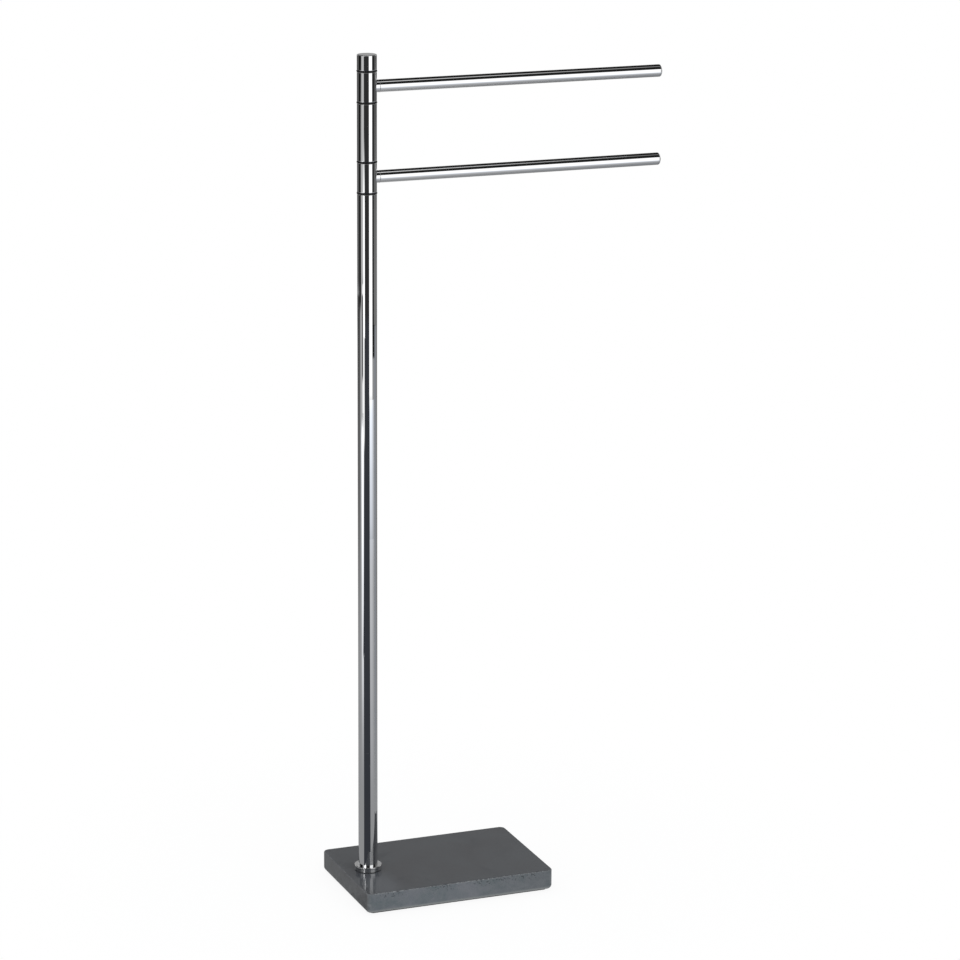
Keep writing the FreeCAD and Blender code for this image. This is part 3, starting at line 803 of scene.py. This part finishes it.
def card(name, corners, tone, fades, far_tone=None):
    """A card seen only in reflections. corners(u, v) gives its points, u across and v up or
    away."""
    row_length = CARD_PIECES + 1
    points = [corners(column / CARD_PIECES, float(row))
              for row in range(2) for column in range(row_length)]
    faces = [(column, column + 1, column + 1 + row_length, column + row_length)
             for column in range(CARD_PIECES)]
    mesh = bpy.data.meshes.new(name)
    mesh.from_pydata(points, [], faces)
    layer = mesh.uv_layers.new(name="UVMap")
    for loop in mesh.loops:
        row, column = divmod(loop.vertex_index, row_length)
        layer.data[loop.index].uv = (column / CARD_PIECES, float(row))
    tone = tinted(tone)
    far_tone = tone if far_tone is None else tinted(far_tone)
    mesh.materials.append(card_material(name, tone, far_tone, fades))
    made = bpy.data.objects.new(name, mesh)
    scene.collection.objects.link(made)
    made.visible_camera = False
    made.visible_diffuse = False
    made.visible_shadow = False
    made.visible_volume_scatter = False


def between(first, last, share):
    return first + (last - first) * share


def bearing_point(degrees, distance, height):
    """A point at a bearing from the column: 0 is straight in front, positive to the right."""
    angle = math.radians(degrees)
    return (COLUMN_X + distance * math.sin(angle), -distance * math.cos(angle), height)


def standing_card(name, bearings, distance, heights, tone, fades):
    def corners(u, v):
        return bearing_point(between(*bearings, u), distance, between(*heights, v))
    card(name, corners, tone, fades)


def lying_card(name, near, far, height, tone, fades, far_tone=None):
    """near and far are the card's (left bearing, right bearing, distance) at either edge."""
    def corners(u, v):
        left, right, distance = (between(a, b, v) for a, b in zip(near, far))
        return bearing_point(between(left, right, u), distance, height)
    card(name, corners, tone, fades, far_tone)


def flat_card(name, near, far, height, tone, fades):
    """near and far are the card's (x, y) at the left and right of either edge."""
    def corners(u, v):
        (ax, ay), (bx, by) = near
        (cx, cy), (dx, dy) = far
        return (between(between(ax, bx, u), between(cx, dx, u), v),
                between(between(ay, by, u), between(cy, dy, u), v), height)
    card(name, corners, tone, fades)


# fades are (left, right, near or low, far or high), as shares of the card's size

BLACK, BLACK_CLOTH = (0.032, 0.032, 0.0325), (0.041, 0.0445, 0.053)
COOL, SLIGHTLY_COOL = (0.948, 0.994, 1.08), (0.98, 0.995, 1.03)


def cards_in_front():
    """A dark flag, and dark cloth on the floor below it."""
    standing_card("front_flag", (-56, 8), 3.0, (0.0, 1.6), BLACK, (0.03, 0.02, 0.02, 0.1))
    lying_card("front_cloth", (-65, 11, 0.45), (-56.5, 6, 3.2), 0.001, BLACK_CLOTH,
               (0.03, 0.03, SHARP, 0.02))
    lying_card("front_near_cloth", (-65, 10, 0.03), (-65, 10, 0.5), 0.001, BLACK_CLOTH,
               (0.03, 0.03, SHARP, SHARP))
    lying_card("front_left_cloth", (-68, -50, 0.03), (-68, -50, 0.9), 0.0035, BLACK_CLOTH,
               (0.08, 0.1, SHARP, SHARP))
    lying_card("front_left_far_cloth", (-76, -50, 0.88), (-59, -50, 1.95), 0.0036, BLACK_CLOTH,
               (0.06, 0.1, 0.04, 0.2))


def cards_to_the_right():
    """A white panel with its glow on the floor, then dark flags that pale to the back."""
    standing_card("right_panel", (3, 43.5), 2.3, (0.0, 2.15), 1.35, (0.03, 0.06, 0.02, 0.06))
    lying_card("right_glow", (20, 75, 0.15), (4, 75, 1.5), 0.002, tinted(0.33, SLIGHTLY_COOL),
               (0.05, 0.75, 0.3, SHARP), tinted(0.72, SLIGHTLY_COOL))
    lying_card("right_far_glow", (5, 75, 1.2), (5, 75, 2.4), 0.003, tinted(0.55, COOL),
               (0.04, 0.75, 0.35, SHARP), tinted(1.3, COOL))
    standing_card("right_flag", (42, 76), 3.0, (0.0, 1.6), 0.02, (0.04, 0.08, 0.02, 0.1))
    lying_card("right_flag_cloth", (42, 76, 2.7), (42, 76, 3.1), 0.004, 0.02,
               (0.04, 0.08, 0.1, SHARP))
    standing_card("right_far_flag", (66, 140), 3.1, (0.0, 2.6), 0.09, (0.05, 0.02, 0.02, 0.02))
    standing_card("right_low_flag", (60, 140), 3.0, (0.0, 0.55), 0.21, (0.15, 0.1, SHARP, 0.95))
    lying_card("right_cloth", (60, 180, 0.3), (60, 180, 3.2), 0.001, 0.22, (0.4, 0.1, 0.3, 0.02))
    lying_card("right_cool_sheet", (62, 108, 0.15), (62, 108, 3.2), 0.0015, tinted(0.29, COOL),
               (0.25, 0.35, 0.2, 0.02))


def cards_to_the_left():
    """A bright strip on the floor, white panels and a dark flag."""
    lying_card("left_sheet", (-125, -66, 0.15), (-125, -61, 3.4), 0.002,
               tinted(0.45, SLIGHTLY_COOL), (0.5, 0.04, 0.3, 0.02), 0.5)
    lying_card("left_strip", (-98, -71, 0.35), (-98, -64, 2.3), 0.003,
               tinted(0.5, SLIGHTLY_COOL), (0.35, 0.12, 0.25, 0.1), tinted(1.9, SLIGHTLY_COOL))
    lying_card("left_far_strip", (-85, -50, 2.0), (-85, -50, 3.4), 0.003, 1.1,
               (0.35, 0.12, 0.12, 0.02), 1.3)
    lying_card("left_gap", (-85, -68, 2.5), (-85, -68, 3.3), 0.004, 0.1, (0.12, 0.12, 0.12, 0.06))
    lying_card("left_back_cloth", (-180, -100, 0.7), (-180, -100, 3.3), 0.003, 0.22,
               (0.02, 0.25, 0.4, 0.02), 0.06)
    standing_card("left_low_panel", (-66, -46), 2.9, (0.0, 0.4), 1.5, (0.15, 0.12, SHARP, 0.4))
    standing_card("left_side_panel", (-97, -84), 3.05, (0.0, 0.55), 0.42, (0.2, 0.1, SHARP, 0.4))
    standing_card("left_panel", (-91, -53), 3.3, (0.0, 2.4), 0.62, (0.03, 0.05, 0.02, 0.02))
    standing_card("left_flag", (-126, -84), 3.1, (0.0, 1.6), 0.007, (0.1, 0.04, 0.02, 0.1))
    standing_card("left_back_flag", (-180, -121), 3.2, (0.0, 2.6), 0.11, (0.02, 0.02, 0.02, 0.02))


def cards_overhead():
    """A dark canopy with one strip light across it."""
    lying_card("canopy", (-180, 180, 0.0), (-180, 180, 3.6), 2.6, 0.014,
               (SHARP, SHARP, SHARP, SHARP))
    flat_card("strip_light", ((-1.8, -1.15), (1.35, -0.2)), ((-1.8, -0.65), (1.35, 0.3)), 2.55,
              1.15, (0.05, 0.34, 0.3, 0.3))


def cards_behind_and_high_up():
    """A pale wall that is dark above, a sheet of paper, and panels that only other views see."""
    lying_card("back_sheet", (145, 176, 0.3), (145, 176, 3.1), 0.002, 0.9, (0.15, 0.15, 0.1, 0.1))
    standing_card("back_left_panel", (180, 214), 3.15, (1.1, 2.5), 0.8, (0.2, 0.2, 0.1, 0.1))
    standing_card("right_high_panel", (84, 138), 3.05, (1.15, 2.5), 0.85, (0.1, 0.1, 0.1, 0.1))
    standing_card("left_high_panel", (-140, 2), 3.05, (1.5, 2.55), 0.6, (0.1, 0.02, 0.1, 0.1))
    standing_card("front_high_panel", (44, 80), 3.05, (1.5, 2.55), 0.5, (0.05, 0.1, 0.1, 0.1))
    standing_card("back_panel", (118, 205), 3.35, (0.0, 1.8), 0.37, (0.05, 0.05, 0.02, 0.15))
    standing_card("back_flag", (130, 222), 3.4, (1.5, 5.2), 0.05, (0.02, 0.02, 0.1, 0.02))


# ---------------------------------------------------------------- studio

FLOOR_HALF_SIZE, FLOOR_DROP = 9.0, -0.0004
FLOOR_IN_METAL = (0.323, 0.3265, 0.332)     # the tone that the chrome mirrors


def studio_floor():
    """White paper: seen white, seen grey in the metal, and it keeps the stand's soft shadow.
    It is clear from below, so that the stand's underside can be seen."""
    size, drop = FLOOR_HALF_SIZE, FLOOR_DROP
    corners = [(-size, -size, drop), (size, -size, drop), (size, size, drop), (-size, size, drop)]
    mesh = bpy.data.meshes.new("studio_floor")
    mesh.from_pydata(corners, [], [(0, 1, 2, 3)])
    floor = bpy.data.objects.new("studio_floor", mesh)
    scene.collection.objects.link(floor)
    material, tree = new_material("studio_floor")
    place, _ = own_place(tree)
    path = shader_node(tree, "LightPath").outputs
    away = shader_node(tree, "VectorMath", operation="LENGTH", Vector=place).outputs["Value"]
    washed = stretch(tree, away, 0.18, 0.6, 0.9, 1.0, "washed out away from the stand")
    direct = larger(tree, path["Is Camera Ray"], path["Is Transmission Ray"])
    share = larger(tree, times(tree, direct, washed), path["Is Glossy Ray"])
    share = larger(tree, share, times(tree, path["Is Diffuse Ray"], 0.95))
    tone = blend_colour(tree, path["Is Glossy Ray"], (1, 1, 1), FLOOR_IN_METAL)
    paper = shader_node(tree, "BsdfDiffuse", Color=(0.9, 0.9, 0.9, 1))
    glow = shader_node(tree, "Emission", Strength=1.0, Color=tone)
    from_above = blend_shaders(tree, share, paper.outputs[0], glow.outputs[0])
    backs = shader_node(tree, "NewGeometry").outputs["Backfacing"]
    clear = shader_node(tree, "BsdfTransparent")
    seen_from_below = times(tree, backs, path["Is Camera Ray"])
    sheet = blend_shaders(tree, seen_from_below, from_above, clear.outputs[0])
    shader_node(tree, "OutputMaterial", Surface=sheet)
    material.cycles.emission_sampling = "NONE"
    mesh.materials.append(material)


def studio_world():
    """Soft even light, and plain white where the camera or the metal sees past the cards."""
    world = bpy.data.worlds.new("studio")
    world.use_nodes = True
    tree = world.node_tree
    tree.nodes.clear()
    path = shader_node(tree, "LightPath").outputs
    seen = larger(tree, path["Is Camera Ray"], path["Is Glossy Ray"])
    seen = larger(tree, seen, path["Is Transmission Ray"])
    ambient = shader_node(tree, "Background", Strength=0.75, Color=(0.97, 0.985, 1, 1))
    white = shader_node(tree, "Background", Strength=1.0, Color=(1, 1, 1, 1))
    backdrop = blend_shaders(tree, seen, ambient.outputs[0], white.outputs[0])
    shader_node(tree, "OutputWorld", Surface=backdrop)
    scene.world = world


def softbox(name, place, target, size, power, mirrored=False):
    data = bpy.data.lights.new(name, "AREA")
    data.shape = "RECTANGLE"
    data.size, data.size_y = size
    data.energy = power
    lamp = bpy.data.objects.new(name, data)
    scene.collection.objects.link(lamp)
    aim = Vector(target) - Vector(place)
    turned = aim.to_track_quat("-Z", "Y").to_matrix().to_4x4()
    lamp.matrix_world = Matrix.Translation(place) @ turned
    lamp.visible_glossy = mirrored


def studio():
    studio_world()
    studio_floor()
    softbox("key", (0.6, -2.6, 1.5), target=(0, 0, 0.1), size=(2.0, 1.4), power=24)
    softbox("overhead", (-0.4, 0.2, 2.6), target=(0, 0, 0.1), size=(2.0, 2.0), power=16)
    softbox("window", bearing_point(-53, 3.0, 0.9), target=(COLUMN_X, 0, 0.03),
            size=(0.55, 0.56), power=5.5, mirrored=True)
    cards_in_front()
    cards_to_the_right()
    cards_to_the_left()
    cards_overhead()
    cards_behind_and_high_up()


# ---------------------------------------------------------------- the stand

photograph_camera()
studio()

drawn_tube = polished_chrome("column_chrome", along_the_column, line_depth=0.00000008,
                             smears_per_metre=9.0, smear_amount=0.45)
arm_chrome = polished_chrome("arm_chrome", along_the_arm, line_depth=0.00000008,
                             smears_per_metre=16.0, smear_amount=0.6)
turned_chrome = polished_chrome("turned_chrome", round_the_column, line_depth=0.0000001,
                                smears_per_metre=20.0, smear_amount=0.6)
finishes = {
    "chrome": turned_chrome,
    "black_ring": moulded_nylon("black_nylon", body=(0.005, 0.005, 0.0055),
                                worn=(0.03, 0.03, 0.031), roughness=0.35, grain_depth=0.00002),
    "bush": moulded_nylon("natural_nylon", body=(0.52, 0.5, 0.44), worn=(0.66, 0.64, 0.58),
                          roughness=0.45, grain_depth=0.00003),
    "soft_sheet": rubber_sheet("rubber_sheet"),
    "steel": zinc_plated_steel("zinc_plated_steel"),
    "aluminium": turned_aluminium("turned_aluminium"),
    "stone": stone_resin("stone_resin"),
}
own_finish = {
    "column_tube": drawn_tube,
    "spacer_tube": drawn_tube,
    "upper_arm_tube": arm_chrome,
    "lower_arm_tube": arm_chrome,
}
slots = {part["node"]: part["material_slot"] for part in frame["record"]["subparts"]}
for name, piece in frame["nodes"].items():
    piece.data.materials.clear()
    piece.data.materials.append(own_finish.get(name, finishes[slots[name]]))

stone_slab = build_stone_slab()
stone_slab.data.materials.append(finishes["stone"])

scene.view_settings.view_transform = "Standard"
